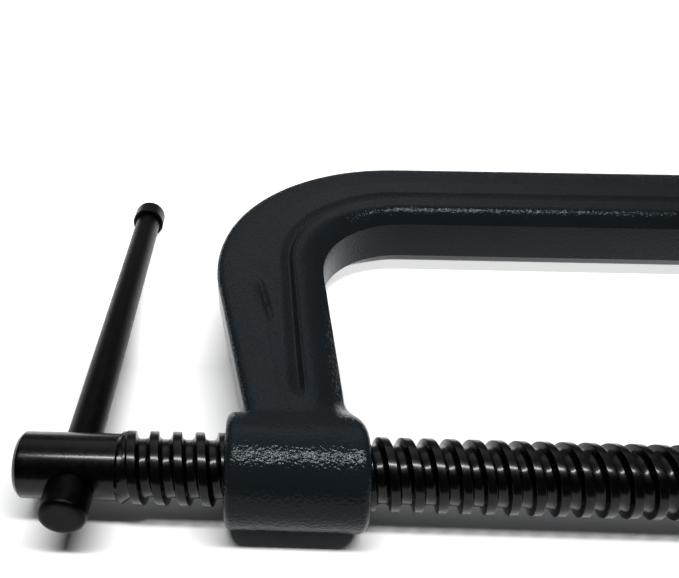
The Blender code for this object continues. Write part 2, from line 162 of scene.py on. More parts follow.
class ScrewSizes(bpy.types.PropertyGroup):
    """Sizes of the screw, from its head to the ball at its tip."""

    diameter: length("Diameter", "Diameter over the thread's crests", 19.05)
    depth: length("Depth", "Depth of the thread", 2.03)
    crest: length("Crest", "Width of the thread's crest", 2.25)
    flank: angle("Flank", "Slope of the thread's flanks", 14.5)
    crest_edge: length("Crest edge", "Rounding of the crest's edges", 0.22)
    root_round: length("Root round", "Rounding at the thread's root", 0.85)
    run_out: length("Run-out", "Length over which the first grooves deepen", 5.0)
    exposed: length("Exposed", "Thread between the head and the boss", 27.9)
    head: length("Head", "Diameter of the head", 17.3)
    head_edge: length("Head edge", "Chamfer of the head's outer end", 1.2)
    neck: length("Neck", "Diameter of the neck behind the ball", 9.0)
    ball: length("Ball", "Diameter of the ball", 12.7)
    hole: length("Hole", "Diameter of the cross hole", 10.4)
    clearance: length("Clearance", "Gap between the screw and the boss's thread", 0.35)
    phase: length("Phase", "From the boss's outer face to the middle of a crest", -1.7)
    sides: IntProperty(name="Sides", description="Facets round the thread", default=72, min=24)


class HandleSizes(bpy.types.PropertyGroup):
    """Sizes of the sliding bar and of its two caps."""

    bar: length("Bar", "Diameter of the bar", 9.6)
    cap: length("Cap", "Diameter of a cap", 12.4)
    cap_length: length("Cap length", "Length of a cap", 8.55)
    cap_round: length("Cap round", "Rounding of a cap's outer rim", 1.3)
    spigot: length("Spigot", "Diameter of the bar's turned-down ends", 6.6)
    spigot_length: length("Spigot length", "Length of the turned-down ends", 6.0)
    near: length("Near", "Screw axis to the near cap's shoulder", 8.95)
    reach: length("Reach", "Screw axis to the far cap's end", 143.8)
    fit: length("Fit", "Gap between the bar and a cap", 0.3)


class PadSizes(bpy.types.PropertyGroup):
    """Sizes of the swivel pad and its retaining ring."""

    rim: length("Rim", "Length of the pad's widest part", 4.2)
    cone: length("Cone", "Length of the cone behind the rim", 3.5)
    collar: length("Collar", "Diameter of the collar", 21.0)
    edge: length("Edge", "Rounding of the pad's edges", 0.8)
    lip: length("Lip", "Wall behind the ring's groove", 2.0)
    socket: length("Socket", "Diameter of the socket round the ball", 13.3)
    groove: length("Ring groove", "Diameter of the ring's groove", 17.3)
    groove_front: length("Groove front", "Front of the groove, behind the ball's centre", 2.335)
    ring_inner: length("Ring inner", "Inner diameter of the retaining ring", 11.5)
    ring_gap: angle("Ring gap", "Gap in the retaining ring", 30.0)


class Finishes(bpy.types.PropertyGroup):
    """Colours of the enamel and of the black oxide."""

    enamel: colour("Enamel", "Slate enamel on the frame", "#151a1e")
    enamel_deep: colour("Enamel, deep", "Where the enamel lies thicker", "#0e1316")
    oxide: colour("Black oxide", "Oiled black oxide on the screw", "#0b0b0d")
    oxide_bar: colour("Black oxide, bar", "Dull black oxide on the bar", "#0f0e0e")
    oxide_worn: colour("Worn oxide", "Where the oxide has rubbed thin", "#1a1918")
    spring: colour("Spring steel", "Retaining ring", "#6d6d70")
    floor: colour("Floor", "Pale studio floor", "#f4f4f4")


class StageSettings(bpy.types.PropertyGroup):
    """Camera, lamp, glow of the room, and floor."""

    camera: spot("Camera", "Place of the camera", (-0.11834, -0.19051, 0.16828))
    pitch: angle("Pitch", "How far the camera looks down", 36.838)
    yaw: angle("Yaw", "How far it turns to the left", 2.012)
    lens: FloatProperty(name="Lens", description="Focal length in mm on a 36 mm sensor", default=38.70)
    shift: FloatProperty(name="Shift", description="Sideways shift, as a share of the width", default=0.1465)
    softbox: spot("Softbox", "Place of the overhead softbox", (0.0, -0.255, 1.2))
    softbox_aim: spot("Softbox aim", "Where the softbox points", (0.0, -0.02, 0.0))
    softbox_length: length("Softbox length", "Length of the softbox, along the screw", 1000.0)
    softbox_width: length("Softbox width", "Width of the softbox", 100.0)
    overhead: FloatProperty(name="Overhead", description="Power of the softbox in W", default=18.5)
    far_glow: FloatProperty(name="Far glow", description="Brightness of the room's far side", default=1.2)
    near_glow: FloatProperty(name="Near glow", description="Brightness of the near side", default=0.06)
    floor_glow: FloatProperty(name="Floor glow", description="Light of the floor's far part", default=0.8)
    floor_dark: length("Floor dark", "Where the floor's own light starts, along Y", -10.0)
    floor_lit: length("Floor lit", "Where the floor's own light is full, along Y", 45.0)
    floor_size: length("Floor size", "Side of the floor", 8000.0)


GROUPS = {
    "clamp_frame": FrameSizes,
    "clamp_screw": ScrewSizes,
    "clamp_handle": HandleSizes,
    "clamp_pad": PadSizes,
    "clamp_finish": Finishes,
    "clamp_stage": StageSettings,
}


# --- Meshes from grids ------------------------------------
def origin(sizes):
    """Where clamp coordinates start, in the frame's coordinates."""
    return np.array((LOW[0] + sizes.overhang, AXIS_Y, AXIS_Z))


def make_object(name, points, faces):
    """An object at the world's origin from points and faces, replacing one of the same name."""
    old = bpy.data.objects.get(name)
    if old is not None:
        bpy.data.objects.remove(old, do_unlink=True)
    mesh = bpy.data.meshes.new(name)
    mesh.from_pydata(np.asarray(points, float).tolist(), [], faces)
    obj = bpy.data.objects.new(name, mesh)
    bpy.context.scene.collection.objects.link(obj)
    return obj


def grid_faces(rows, sides, wrap=True):
    """Quads of a grid whose rows are closed loops (or open ones), numbered row by row."""
    i, j = np.meshgrid(np.arange(rows - 1), np.arange(sides if wrap else sides - 1), indexing="ij")
    n = (j + 1) % sides
    this, other = i * sides + j, i * sides + n
    return np.stack([this, other, other + sides, this + sides], axis=-1).reshape(-1, 4).tolist()


def fan(ring, centre):
    """Triangles that join each side of a ring of points to one centre, by their numbers."""
    return np.stack([np.roll(ring, -1), ring, np.full(len(ring), centre)], axis=-1).tolist()


def closed_tube(grid):
    """Points and faces of a tube over a grid of rows, each end closed by a fan to the row's middle."""
    rows, sides, _ = grid.shape
    points = np.concatenate([grid.reshape(-1, 3), grid[:1].mean(axis=1), grid[-1:].mean(axis=1)])
    centre = rows * sides
    ring = np.arange(sides)
    last = (centre - sides + ring)[::-1]
    return points, grid_faces(rows, sides) + fan(ring, centre) + fan(last, centre + 1)


def around(x, r, a):
    """Points round the X axis, at radius r and angle a: (x, r cos a, r sin a)."""
    return np.stack(np.broadcast_arrays(x, r * np.cos(a), r * np.sin(a)), axis=-1)


def lathe(profile, sides, turn=0.0):
    """Grid of a profile of (x, radius) turned about X."""
    profile = np.asarray(profile, float)
    return around(profile[:, :1], profile[:, 1:], TAU * np.arange(sides) / sides + turn)


def eased(share):
    """Runs from 0 to 1 with no slope at either end: 3 s squared minus 2 s cubed, s held in 0 to 1."""
    share = np.clip(share, 0, 1)
    return share * share * (3 - 2 * share)


def rounded(corners, radii, steps=6):
    """A chain of corners, each rounded by a quadratic curve between points that far from it.

    Works on one chain, or on many at once along the leading axes.
    """
    corners = np.asarray(corners, float)
    out = [corners[..., :1, :]]
    t = np.linspace(0, 1, steps)[:, None]
    for k in range(1, corners.shape[-2] - 1):
        here, back, on = corners[..., k, :], corners[..., k - 1, :], corners[..., k + 1, :]
        if radii[k] == 0:
            out.append(here[..., None, :])
            continue
        to_back, to_on = back - here, on - here
        to_back /= np.linalg.norm(to_back, axis=-1, keepdims=True)
        to_on /= np.linalg.norm(to_on, axis=-1, keepdims=True)
        start, end = here + to_back * radii[k], here + to_on * radii[k]
        curve = (1 - t) ** 2 * start[..., None, :] + 2 * t * (1 - t) * here[..., None, :]
        out.append(curve + t**2 * end[..., None, :])
    out.append(corners[..., -1:, :])
    return np.concatenate(out, axis=-2)


def spaced(chain, step):
    """The same chain of points with more points wherever two lie further apart than the step."""
    gaps = np.linalg.norm(np.diff(chain, axis=0), axis=1)
    pieces = [
        np.linspace(chain[k], chain[k + 1], max(1, math.ceil(gap / step)), endpoint=False)
        for k, gap in enumerate(gaps)
        if gap > 1e-9
    ]
    return np.concatenate([*pieces, chain[-1:]])


def clean(obj, merge=2e-6):
    """Merges doubled points and points all faces outwards."""
    bm = bmesh.new()
    bm.from_mesh(obj.data)
    bmesh.ops.remove_doubles(bm, verts=bm.verts, dist=merge)
    bmesh.ops.recalc_face_normals(bm, faces=bm.faces)
    bm.to_mesh(obj.data)
    bm.free()


def combine(obj, operation, points, faces, place=None):
    """Joins a second closed mesh to a closed piece, or cuts it out, and removes that mesh."""
    other = make_object("other", points, faces)
    if place is not None:
        other.data.transform(place)
    clean(other)
    modifier = obj.modifiers.new("combine", "BOOLEAN")
    modifier.operation = operation
    modifier.solver = "MANIFOLD"
    modifier.object = other
    graph = bpy.context.evaluated_depsgraph_get()
    made = bpy.data.meshes.new_from_object(obj.evaluated_get(graph))
    obj.modifiers.clear()
    obj.data = made
    bpy.data.objects.remove(other, do_unlink=True)


def read_points(obj):
    flat = np.empty(len(obj.data.vertices) * 3)
    obj.data.vertices.foreach_get("co", flat)
    return flat.reshape(-1, 3)


def write_points(obj, points):
    obj.data.vertices.foreach_set("co", np.ascontiguousarray(points, float).ravel())
    obj.data.update()


def finish_piece(obj, body, mat, replaced):
    """Shades the piece, gives it its material, ties it to its body, and hides the part of model.glb that it
    replaces.
    """
    obj.data.materials.clear()
    obj.data.materials.append(mat)
    obj.data.shade_smooth()
    obj.data.set_sharp_from_angle(angle=SHARP)
    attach(obj, body)
    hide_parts(replaced)


# --- Materials --------------------------------------------
def add(tree, kind, inputs=None, **settings):
    """One node with its settings. An input is a value, or a socket to link from."""
    made = tree.nodes.new(kind)
    for key, value in settings.items():
        setattr(made, key, value)
    for key, value in (inputs or {}).items():
        if isinstance(value, bpy.types.NodeSocket):
            tree.links.new(value, made.inputs[key])
        else:
            made.inputs[key].default_value = value
    return made


def new_material(name, base, metallic, roughness):
    """An empty material with a Principled shader and its tree, on the object's own coordinates."""
    old = bpy.data.materials.get(name)
    if old is not None:
        bpy.data.materials.remove(old)
    mat = bpy.data.materials.new(name)
    mat.use_nodes = True
    mat.diffuse_color = base
    tree = mat.node_tree
    shader = tree.nodes["Principled BSDF"]
    shader.inputs["Base Color"].default_value = base
    shader.inputs["Metallic"].default_value = metallic
    shader.inputs["Roughness"].default_value = roughness
    place = add(tree, "ShaderNodeTexCoord").outputs["Object"]
    return mat, tree, shader, place


def slate_enamel(finish):
    """Sprayed and baked enamel over a forging: satin, with orange peel about 0.8 mm across.

    The eye sees a dark blue-grey that breaks into sparks where it reflects a lamp.
    """
    mat, tree, shader, place = new_material("sprayed_slate_enamel", finish.enamel, 0.0, 0.15)
    peel_size, cloud_size = 1 / (0.8 * MM), 1 / (26 * MM)
    cloud = add(tree, "ShaderNodeTexNoise", {"Vector": place, "Scale": cloud_size, "Detail": 3.0})
    shades = {0: cloud.outputs["Fac"], MIX_A: finish.enamel_deep, MIX_B: finish.enamel}
    mix = add(tree, "ShaderNodeMix", shades, data_type="RGBA")
    tree.links.new(mix.outputs[MIX_COLOUR], shader.inputs["Base Color"])
    grain = {"Vector": place, "Scale": peel_size, "Detail": 1.5, "Roughness": 0.45}
    peel = add(tree, "ShaderNodeTexNoise", grain).outputs["Fac"]
    rough = add(tree, "ShaderNodeMapRange", {"Value": peel, "To Min": 0.1, "To Max": 0.2})
    tree.links.new(rough.outputs["Result"], shader.inputs["Roughness"])
    bump = add(tree, "ShaderNodeBump", {"Height": peel, "Strength": 1.0, "Distance": 0.19 * MM})
    tree.links.new(bump.outputs["Normal"], shader.inputs["Normal"])
    shader.inputs["IOR"].default_value = 1.5
    shader.inputs["Specular IOR Level"].default_value = 0.135
    shader.inputs["Specular Tint"].default_value = linear("#dbe7f1")
    return mat


def black_oxide(name, base, worn, roughness, marks, depth):
    """Oiled black oxide on turned or drawn steel: near black, with fine tool marks across the light.

    marks is the direction that the marks are spaced along, and depth how deep they are in mm.
    """
    mat, tree, shader, place = new_material(name, base, 1.0, roughness)
    spacing = 0.28 * MM  # real turning marks are finer, and this is as coarse as they need to show
    mark_length, patch_size, grit_size = 6 * MM, 2.2 * MM, 0.35 * MM
    stretch = [1 / spacing if along else 1 / mark_length for along in marks]
    lines = add(tree, "ShaderNodeMapping", {"Vector": place, "Scale": stretch}).outputs["Vector"]
    mark = add(tree, "ShaderNodeTexNoise", {"Vector": lines, "Scale": 1.0, "Detail": 2.0})
    patch = add(tree, "ShaderNodeTexNoise", {"Vector": place, "Scale": 1 / patch_size, "Detail": 4.0})
    wear = add(tree, "ShaderNodeMapRange", {"Value": patch.outputs["Fac"], "To Min": -0.6, "To Max": 1.3})
    shades = {0: wear.outputs["Result"], MIX_A: base, MIX_B: worn}
    mix = add(tree, "ShaderNodeMix", shades, data_type="RGBA")
    tree.links.new(mix.outputs[MIX_COLOUR], shader.inputs["Base Color"])
    rough = {"Value": patch.outputs["Fac"], "To Min": roughness - 0.1, "To Max": roughness + 0.14}
    rough = add(tree, "ShaderNodeMapRange", rough)
    tree.links.new(rough.outputs["Result"], shader.inputs["Roughness"])
    grit = add(tree, "ShaderNodeTexNoise", {"Vector": place, "Scale": 1 / grit_size, "Detail": 2.0})
    both = {0: mark.outputs["Fac"], 1: grit.outputs["Fac"]}
    height = add(tree, "ShaderNodeMath", both, operation="ADD").outputs[0]
    bump = add(tree, "ShaderNodeBump", {"Height": height, "Strength": 0.7, "Distance": depth * MM})
    tree.links.new(bump.outputs["Normal"], shader.inputs["Normal"])
    return mat


# --- Forged frame -----------------------------------------
def section(sizes, width, relief, fullness):
    """Half of the frame's section at each station, as (u, z) from the wall's middle to the outer edge.

    From the inner wall a slope climbs to the rail's shoulder. The rail's top ends in a low crest, a
    groove lies beside it, and the crowned web runs to the rounded outer edge. Relief is 1 where the
    crest and the groove are full, and 0 where they have run out. Fullness is 0 on the arms and 1 on
    the spine, whose rail has a steeper side.
    """
    width, relief, fullness = (x.astype(float) for x in np.broadcast_arrays(width, relief, fullness))
    shoulder = sizes.shoulder + (sizes.spine_shoulder - sizes.shoulder) * fullness
    drop = sizes.shoulder_drop * (1 - fullness / 4)
    zero = np.zeros_like(width)
    half, wall = sizes.thickness / 2, sizes.inner_wall / 2
    top = half - sizes.rail_rise
    sink = 0.2 * MM  # what the web sinks by beside the rail, apart from the groove
    valley = half - sink - sizes.groove_depth * relief
    crest = top + sizes.rail_rise * relief
    lip = sizes.rail + sizes.groove
    free = width - lip
    flat = half - sizes.web_crown
    knee, bulge = 0.45, 0.28 * MM  # the rail's side is a little convex
    web_starts, web_ends = 0.42, 0.62  # the web's middle, as shares of its width
    crown = np.linspace(0, 1, 12)[1:-1]
    foot = (zero + lip + 3.0 * MM, flat - sink * relief)
    middle = (lip + free * web_starts, zero + half - 0.02 * MM)
    corners = (
        (zero, zero),
        (zero, zero + wall),
        (shoulder * knee, wall + (half - drop - wall) * knee + bulge),
        (shoulder, half - drop),
        (zero + sizes.rail - 1.0 * MM, zero + top - 0.05 * MM),
        (zero + sizes.rail, crest),
        (zero + lip, valley),
        foot,
        *(tuple(a + (b - a) * share for a, b in zip(foot, middle)) for share in crown),
        middle,
        (lip + free * web_ends, zero + half - 0.12 * MM),
        (width - sizes.outer_draft, zero + half - 0.5 * MM),
        (width, zero),
    )
    plain = [0] * len(crown)
    radii = (0, 0.25, 0.9, 2.3, 0.45, 0.35, 0.7, 0.6, *plain, 0.6, 1.4, sizes.outer_round / MM, 0)
    chain = np.stack([np.stack(corner, axis=-1) for corner in corners], axis=-2)
    return rounded(chain, [r * MM for r in radii], steps=5)


def drawn_in(sizes, u, z, width):
    """How far the outer half of the section is drawn in at a height: none on top, most underneath."""
    share = 0.5 - z / sizes.thickness
    return sizes.outer_lean * share * np.clip(2 * u / width - 1, 0, 1)


def stations(sizes, spacing, throat):
    """(inner, outer) points of the whole C from inside the boss round to inside the anvil.

    Each edge is a leaning straight, a quarter bend and the straight spine, mirrored at the middle. A
    moving average takes out the kinks where a straight meets a bend.
    """
    middle = spacing / 2
    bend_y = throat - sizes.inner_bend
    outer_y = throat + sizes.spine_width - sizes.outer_bend
    lead = sizes.bend_lead
    inner_x = sizes.arm_inner - sizes.inner_lean
    inner_centre = inner_x + sizes.inner_bend
    outer_centre = -sizes.overhang + sizes.outer_bend
    foot = sizes.arm_foot
    arm = np.linspace(2 * MM, bend_y, ARM_STATIONS, endpoint=False)
    rise = (arm - foot) / (bend_y - foot)
    start_x = outer_centre - sizes.outer_bend * math.cos(lead)
    start_y = outer_y - sizes.outer_bend * math.sin(lead)
    outer_arm_y = np.where(arm < foot, arm, foot + (start_y - foot) * rise)
    lean = (start_x - sizes.arm_outer) / (start_y - foot)
    inner = [np.stack([sizes.arm_inner - sizes.inner_lean * rise, arm], axis=-1)]
    outer = [np.stack([sizes.arm_outer + lean * (outer_arm_y - foot), outer_arm_y], axis=-1)]
    share = np.linspace(0, 1, 76)[:, None]
    for edge, x, y, bend, lead_in in (
        (inner, inner_centre, bend_y, sizes.inner_bend, 0.0),
        (outer, outer_centre, outer_y, sizes.outer_bend, lead),
    ):
        turn = -lead_in + share * (math.pi / 2 + lead_in)
        edge.append(np.hstack([x - bend * np.cos(turn), y + bend * np.sin(turn)]))
    along = np.linspace(0, 1, 60)[1:, None]
    inner.append(np.hstack([inner_centre + (middle - inner_centre) * along, np.full_like(along, throat)]))
    top = throat + sizes.spine_width
    outer.append(np.hstack([outer_centre + (middle - outer_centre) * along, np.full_like(along, top)]))
    edges = []
    for edge in (np.concatenate(inner), np.concatenate(outer)):
        mirrored = edge[-2::-1] * (-1, 1) + (2 * middle, 0)
        whole = np.concatenate([edge, mirrored])
        smooth = whole.copy()
        for _ in range(6):
            smooth[1:-1] = (smooth[:-2] + 2 * smooth[1:-1] + smooth[2:]) / 4
        edges.append(smooth)
    return edges


def arm_relief(y, boss_radius):
    """How full the crest and groove are: none at the boss, full about 7 mm above it."""
    return eased((y - boss_radius + 1 * MM) / (7 * MM))


def arm_fullness(middle, x):
    """0 on the arm, rising through the bend to 1 on the spine."""
    return eased((middle - np.abs(x - middle) - 34 * MM) / (20 * MM))


def distance_to_arm(sizes, points, edges, spacing, boss_radius):
    """Signed distance from each point to the arm's own surface, near the boss or the anvil.

    The arm is read in its section's plane: the distance to the section's outline, below zero inside.
    """
    inner, outer = (edge[:ARM_STATIONS] for edge in edges)
    x = spacing / 2 - np.abs(points[:, 0] - spacing / 2)
    y = points[:, 1]
    wall_x = np.interp(y, inner[:, 1], inner[:, 0])
    edge_x = np.interp(y, outer[:, 1], outer[:, 0])
    across = wall_x - x
    across = across + drawn_in(sizes, across, points[:, 2], wall_x - edge_x)
    here = np.stack([across, np.abs(points[:, 2])], axis=-1)
    chain = section(sizes, wall_x - edge_x, arm_relief(y, boss_radius), 0.0)
    a, b = chain[:, :-1], chain[:, 1:]
    ab = b - a
    t = ((here[:, None] - a) * ab).sum(-1) / np.maximum((ab * ab).sum(-1), 1e-18)
    near = a + np.clip(t, 0, 1)[..., None] * ab
    away = np.linalg.norm(here[:, None] - near, axis=-1).min(axis=1)
    over = (a[..., 0] <= here[:, :1]) != (b[..., 0] <= here[:, :1])
    run = np.where(np.abs(ab[..., 0]) < 1e-12, 1e-12, ab[..., 0])
    at = a[..., 1] + (here[:, :1] - a[..., 0]) * ab[..., 1] / run
    inside = ((over & (at > here[:, 1:])).sum(axis=1) % 2).astype(bool)
    return np.where(inside, -away, away)


def distance_to_barrel(points, low, high, radius, low_edge, high_edge):
    """Signed distance to a barrel along X whose two ends are rounded by the given amounts."""
    middle, half = (low + high) / 2, (high - low) / 2
    edge = np.where(points[:, 0] < middle, low_edge, high_edge)
    across = np.linalg.norm(points[:, 1:], axis=1)
    q = np.stack([np.abs(points[:, 0] - middle) - half + edge, across - radius + edge], axis=-1)
    return np.linalg.norm(np.maximum(q, 0), axis=1) + np.minimum(q.max(axis=1), 0) - edge


def shoulder_edge(points, low, high):
    """Rounding of the boss's inner end: large on the arm's side, and falling to that of its outer end."""
    across = np.maximum(np.linalg.norm(points[:, 1:], axis=1), 1e-9)
    start = -0.15  # the cosine of the angle from the arm's side at which the larger rounding starts
    return low + (high - low) * eased(points[:, 1] / across - start)


def soften_joints(obj, sizes, edges, spacing, boss_radius, anvil_face):
    """Draws the points near the arm's two feet onto a smooth union of the arm and its boss or anvil.

    Where two distances a and b differ by less than k, their smaller one is rounded off by
    k h (1 - h), with h = (1 + (b - a) / k) / 2, and each point is moved down that field's slope to
    where it is zero, after a little averaging with its neighbours.
    """
    points = read_points(obj)

    def field(p):
        arm = distance_to_arm(sizes, p, edges, spacing, boss_radius)
        left = p[:, 0] < spacing / 2
        round_end = shoulder_edge(p, sizes.boss_edge, sizes.boss_shoulder)
        boss = distance_to_barrel(p, 0, sizes.boss_length, boss_radius, sizes.boss_edge, round_end)
        anvil = distance_to_barrel(p, anvil_face, spacing, boss_radius, sizes.anvil_edge, sizes.anvil_round)
        base = np.where(left, boss, anvil)
        x = spacing / 2 - np.abs(p[:, 0] - spacing / 2)
        wall = eased((x - sizes.arm_inner + 9 * MM) / (7 * MM))  # 1 near the arm's inner wall
        k = sizes.crease + (sizes.fillet - sizes.crease) * wall
        h = np.clip(0.5 + 0.5 * (base - arm) / k, 0, 1)
        return base * (1 - h) + arm * h - k * h * (1 - h), arm, base, k

    reach = 1.4 * sizes.fillet
    candidates = np.flatnonzero((points[:, 1] > 0) & (points[:, 1] < boss_radius + 2.5 * reach))
    _, arm, base, k = field(points[candidates])
    near = candidates[(np.abs(arm) < 1.3 * k) & (np.abs(base) < 1.3 * k)]
    mask = np.zeros(len(points), bool)
    mask[near] = True
    ends = np.empty(len(obj.data.edges) * 2, int)
    obj.data.edges.foreach_get("vertices", ends)
    ends = ends.reshape(-1, 2)
    ends = ends[mask[ends].any(axis=1)]
    step = 0.01 * MM
    averaged, passes = 10, 14
    for turn in range(passes):
        if turn < averaged:
            total, count = np.zeros_like(points), np.zeros(len(points))
            for a, b in ((0, 1), (1, 0)):
                np.add.at(total, ends[:, a], points[ends[:, b]])
                np.add.at(count, ends[:, a], 1)
            mean = total[near] / np.maximum(count[near], 1)[:, None]
            points[near] += 0.5 * (mean - points[near])
        here = points[near]
        value = field(here)[0]
        slope = np.stack([(field(here + step * axis)[0] - value) / step for axis in np.eye(3)], axis=-1)
        steep = np.maximum((slope * slope).sum(axis=1), 0.05)
        points[near] = here - (value / steep)[:, None] * slope
    write_points(obj, points)


def helix_grid(rows, pitch, sides, low, high, low_r, high_r, envelope=None):
    """Grid of right-handed helices: row i starts at its x, and gains one pitch in a turn.

    Points past either end are drawn back onto its plane, where they meet in one circle.
    """
    a = TAU * np.arange(sides) / sides
    x = rows[:, :1] + pitch * np.arange(sides) / sides
    r = np.broadcast_to(rows[:, 1:], x.shape)
    if envelope is not None:
        r = envelope(x, r)
    r = np.where(x <= low, low_r, r)
    r = np.where(x >= high, high_r, r)
    return around(np.clip(x, low, high), r, a)


def helix_faces(rows, sides, in_pitch):
    """Quads of a helix grid: the last point of a row meets the first of the row one pitch on."""
    i, j = np.meshgrid(np.arange(rows - 1), np.arange(sides), indexing="ij")
    shift = np.where(j == sides - 1, in_pitch, 0)
    keep = i + 1 + shift < rows
    this, other = i * sides + j, (i + shift) * sides + (j + 1) % sides
    return np.stack([this, other, other + sides, this + sides], axis=-1)[keep].tolist()


def thread_profile(sizes, pitch, grow=0.0):
    """(x, radius) over one pitch, from the middle of a crest to just before the next one's middle."""
    half, flank = sizes.crest / 2 + grow, sizes.depth * math.tan(sizes.flank)
    top = sizes.diameter / 2 + grow
    low = top - sizes.depth
    rising = [(0, top), (half, top), (half + flank, low)]
    corners = rising + [(pitch - x, r) for x, r in reversed(rising)]
    edge, root = sizes.crest_edge, sizes.root_round
    chain = rounded(corners, [0, edge, root, root, edge, 0], steps=5)
    return chain[:-1]


def thread_rows(profile, pitch, phase, start, end):
    """Starting points of all the helices between two places, two turns past either end."""
    first = math.floor(start / pitch) - 2
    turns = math.ceil(end / pitch) + 1 - first
    shift = (np.arange(turns) + first) * pitch
    rows = np.empty((turns, len(profile), 2))
    rows[..., 0] = profile[:, 0] + shift[:, None] + phase
    rows[..., 1] = profile[:, 1]
    return rows.reshape(-1, 2)


def tapped_hole(sizes, pitch, end):
    """Points and faces of the thread that the tap leaves in the boss, as a cutter closed at both ends."""
    profile = thread_profile(sizes, pitch, sizes.clearance)
    past = 3 * MM
    rows = thread_rows(profile, pitch, sizes.phase, -past, end + past)
    r = sizes.diameter / 2 + sizes.clearance
    grid = helix_grid(rows, pitch, sizes.sides, -past, end + past, r, r)
    faces = helix_faces(len(rows), sizes.sides, len(profile))
    points = grid.reshape(-1, 3)
    count, ring = len(points), np.arange(sizes.sides)
    faces += fan(ring, count) + fan(count - sizes.sides + ring, count + 1)
    return np.vstack([points, (-past, 0, 0), (end + past, 0, 0)]), faces


def uneven(points, amount):
    """Low swells 9 to 30 mm across, always inwards: a sum of slanted sine waves."""
    x, y, z = points.T / MM
    swell = np.sin(x / 3.1 + 0.6 * np.sin(y / 4.3)) * np.sin(y / 2.7 + z / 5.0)
    swell += 0.8 * np.sin(x / 1.9 - y / 3.4 + 1.7) * np.sin(z / 2.2 + x / 6.1)
    swell += 0.5 * np.sin(x / 1.3 + y / 1.5 + z / 1.7)
    return -amount * (0.5 + swell / 4.6)


def forged_c(sizes, edges, spacing, boss_radius):
    """The C itself: the section carried along both edges, its upper half mirrored below."""
    inner, outer = edges
    along = outer - inner
    width = np.linalg.norm(along, axis=1)
    along /= width[:, None]
    relief = arm_relief(np.minimum(inner[:, 1], outer[:, 1]), boss_radius)
    half = section(sizes, width, relief, arm_fullness(spacing / 2, inner[:, 0]))
    ring = np.concatenate([half, half[:, -2:0:-1] * (1, -1)], axis=1)
    ring[..., 0] -= drawn_in(sizes, ring[..., 0], ring[..., 1], width[:, None])
    flat = inner[:, None] + along[:, None] * ring[..., :1]
    obj = make_object("forged_frame", *closed_tube(np.concatenate([flat, ring[..., 1:]], axis=-1)))
    clean(obj)
    return obj


def barrel_grid(low, high, radius, low_edge, high_edge, a):
    """Grid of a barrel along X with rounded ends, the far one's rounding free to vary round it."""
    quarter = np.linspace(0, math.pi / 2, 14)[:, None]
    low_edge, high_edge = (np.broadcast_to(edge, a.shape) for edge in (low_edge, high_edge))
    disc = np.linspace(0.06, 1, 12, endpoint=False)[:, None]
    face_low = np.stack(np.broadcast_arrays(np.full((1, 1), low), disc * (radius - low_edge)), axis=-1)
    share = np.linspace(0, 1, 50)[1:-1, None]
    wall_x = (low + low_edge) * (1 - share) + (high - high_edge) * share
    wall = np.stack([wall_x, np.full_like(wall_x, radius)], axis=-1)
    across, down = 1 - np.sin(quarter), 1 - np.cos(quarter)
    edge_low = np.stack([low + low_edge * across, radius - low_edge * down], axis=-1)
    edge_high = np.stack([high - high_edge * across, radius - high_edge * down], axis=-1)
    face_high = np.stack(np.broadcast_arrays(np.full((1, 1), high), disc * (radius - high_edge)), axis=-1)
    rows = np.concatenate([face_low, edge_low[::-1], wall, edge_high, face_high[::-1]])
    return around(rows[..., 0], rows[..., 1], a)


def press_lap(obj, sizes):
    """Presses in the short lap that the forging left on the web of the arm: a soft straight crease.

    Its depth falls off as the exponential of minus the squared distance, and fades at either end.
    """
    points = read_points(obj)
    start, end = np.array((7.6, 69.0)) * MM, np.array((11.8, 47.0)) * MM  # x and y in clamp coordinates
    along = end - start
    t = np.clip(((points[:, :2] - start) @ along) / (along @ along), 0, 1)
    off = np.linalg.norm(points[:, :2] - start - t[:, None] * along, axis=1)
    fade = np.sin(math.pi * np.clip(t, 0.001, 0.999)) ** 0.6
    press = sizes.lap_depth * fade * np.exp(-((off / sizes.lap_width) ** 2))
    points[:, 2] -= np.where(points[:, 2] > sizes.thickness / 4, press, 0)
    write_points(obj, points)


def join_barrels(obj, sizes, spacing, boss_radius, anvil_face):
    """Joins the boss and the anvil onto the feet of the two arms."""
    sides = 160
    a = TAU * np.arange(sides) / sides
    toward = np.stack([np.zeros(sides), np.cos(a), np.sin(a)], axis=-1)
    shoulder = shoulder_edge(toward, sizes.boss_edge, sizes.boss_shoulder)
    for low, high, low_edge, high_edge in (
        (0.0, sizes.boss_length, sizes.boss_edge, shoulder),
        (anvil_face, spacing, sizes.anvil_edge, sizes.anvil_round),
    ):
        barrel = barrel_grid(low, high, boss_radius, low_edge, high_edge, a)
        combine(obj, "UNION", *closed_tube(barrel))


def tap_boss(obj, sizes, screw, wide):
    """Cuts the thread through the boss, and a cone of the given radius into either mouth."""
    combine(obj, "DIFFERENCE", *tapped_hole(screw, PITCH, sizes.boss_length))
    narrow = screw.diameter / 2 - screw.depth
    past = 3 * MM
    sides, turn = 120, 0.013  # turned a little, so that no facet lies in one of the thread's
    for face, way in ((0.0, -1), (sizes.boss_length, 1)):
        deep, out = face - way * (wide - narrow), face + way * past
        sink = np.array([(out, 0), (out, wide + past), (deep, narrow), (deep, 0)])
        mouth = lathe(spaced(sink, 10 * MM), sides, turn)[1:-1]
        combine(obj, "DIFFERENCE", *closed_tube(mouth))


def roughen(obj, sizes, wide, anvil_face):
    """Moves the forged skin in by its unevenness. The thread and the anvil's face are cut, and stay true."""
    points = read_points(obj)
    normals = np.empty(len(obj.data.vertices) * 3)
    obj.data.vertices.foreach_get("normal", normals)
    off_axis = np.linalg.norm(points[:, 1:], axis=1)
    skin = np.clip((off_axis - wide) / (2 * MM), 0, 1)
    skin *= np.abs(points[:, 0] - anvil_face) > 0.05 * MM
    points += normals.reshape(-1, 3) * (uneven(points, sizes.unevenness) * skin)[:, None]
    write_points(obj, points)


